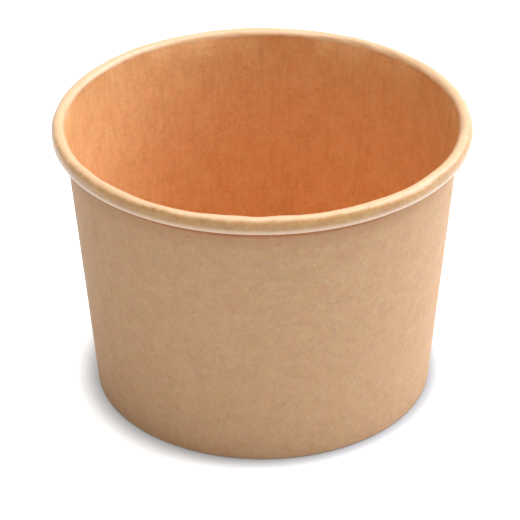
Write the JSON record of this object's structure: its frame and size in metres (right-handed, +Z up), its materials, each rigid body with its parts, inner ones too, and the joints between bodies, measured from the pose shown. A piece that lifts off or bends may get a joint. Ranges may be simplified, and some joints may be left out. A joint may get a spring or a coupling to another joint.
{
  "type": "paper ice cream tub",
  "caption": "Round tapered paperboard tub with a rolled rim, a folded base ring and a recessed bottom disc.",
  "frame": {"origin": "centre of the ring that the tub stands on", "axes": "+Z up the tub's axis, +X towards the glued seam"},
  "size_m": [0.09, 0.09, 0.0632],
  "materials": {
    "kraft_board": "uncoated brown kraft outside, satin coated inside and on the rolled rim",
    "coated_board": "satin coated brown kraft"
  },
  "bodies": {
    "root": {"side_wall": "kraft_board", "bottom_disc": "coated_board"}
  },
  "joints": []
}
